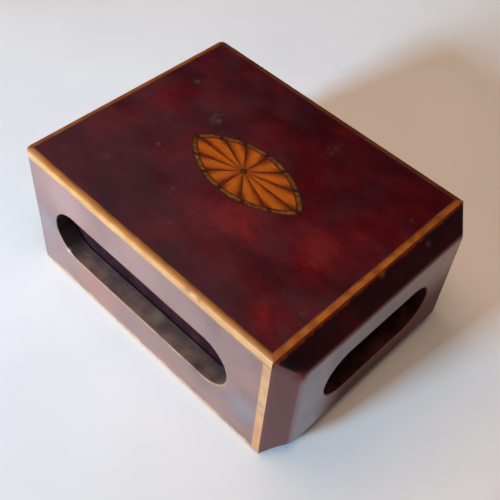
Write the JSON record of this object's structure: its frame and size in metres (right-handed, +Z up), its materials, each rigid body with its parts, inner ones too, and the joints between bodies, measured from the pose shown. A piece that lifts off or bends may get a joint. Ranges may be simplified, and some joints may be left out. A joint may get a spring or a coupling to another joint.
{
  "type": "wooden puzzle box",
  "caption": "Small inlaid wooden box with a bevelled end, round-ended finger slots and a hidden tray that is pushed out of the plain end.",
  "frame": {"origin": "on the table, under the middle of the whole box", "axes": "+X along the case towards the bevelled end, +Y from the slotted front to the back, +Z up"},
  "size_m": [0.0616, 0.0466, 0.0285],
  "materials": {
    "polished_mahogany": "French polished",
    "bare_mahogany": "bare, planed",
    "boxwood_string": "French polished",
    "shaded_satinwood": "sand shaded and French polished",
    "green_sycamore": "dyed and French polished",
    "ebony": "French polished"
  },
  "bodies": {
    "case": {"top_panel": "polished_mahogany", "base_panel": "polished_mahogany", "front_side": "polished_mahogany", "back_side": "polished_mahogany", "end_block": "polished_mahogany", "top_string_front": "boxwood_string", "top_string_back": "boxwood_string", "top_string_left": "boxwood_string", "top_string_right": "boxwood_string", "corner_string_front": "boxwood_string", "corner_string_back": "boxwood_string", "patera_ray_01": "shaded_satinwood", "patera_ray_02": "shaded_satinwood", "patera_ray_03": "shaded_satinwood", "patera_ray_04": "shaded_satinwood", "patera_ray_05": "shaded_satinwood", "patera_ray_06": "shaded_satinwood", "patera_ray_07": "shaded_satinwood", "patera_ray_08": "shaded_satinwood", "patera_ray_09": "shaded_satinwood", "patera_ray_10": "shaded_satinwood", "patera_ray_11": "shaded_satinwood", "patera_ray_12": "shaded_satinwood", "patera_border_01": "green_sycamore", "patera_border_02": "green_sycamore", "patera_border_03": "green_sycamore", "patera_border_04": "green_sycamore", "patera_border_05": "green_sycamore", "patera_border_06": "green_sycamore", "patera_border_07": "green_sycamore", "patera_border_08": "green_sycamore", "patera_border_09": "green_sycamore", "patera_border_10": "green_sycamore", "patera_border_11": "green_sycamore", "patera_border_12": "green_sycamore", "patera_dot": "ebony"},
    "tray": {"tray_floor": "bare_mahogany", "tray_front_side": "bare_mahogany", "tray_back_side": "bare_mahogany", "tray_push_end": "bare_mahogany", "tray_outer_end": "polished_mahogany"}
  },
  "joints": [
    {"name": "tray_slide", "type": "slide", "parent": "case", "child": "tray", "axis": [-1, 0, 0], "range_m": [0, 0.045]}
  ]
}
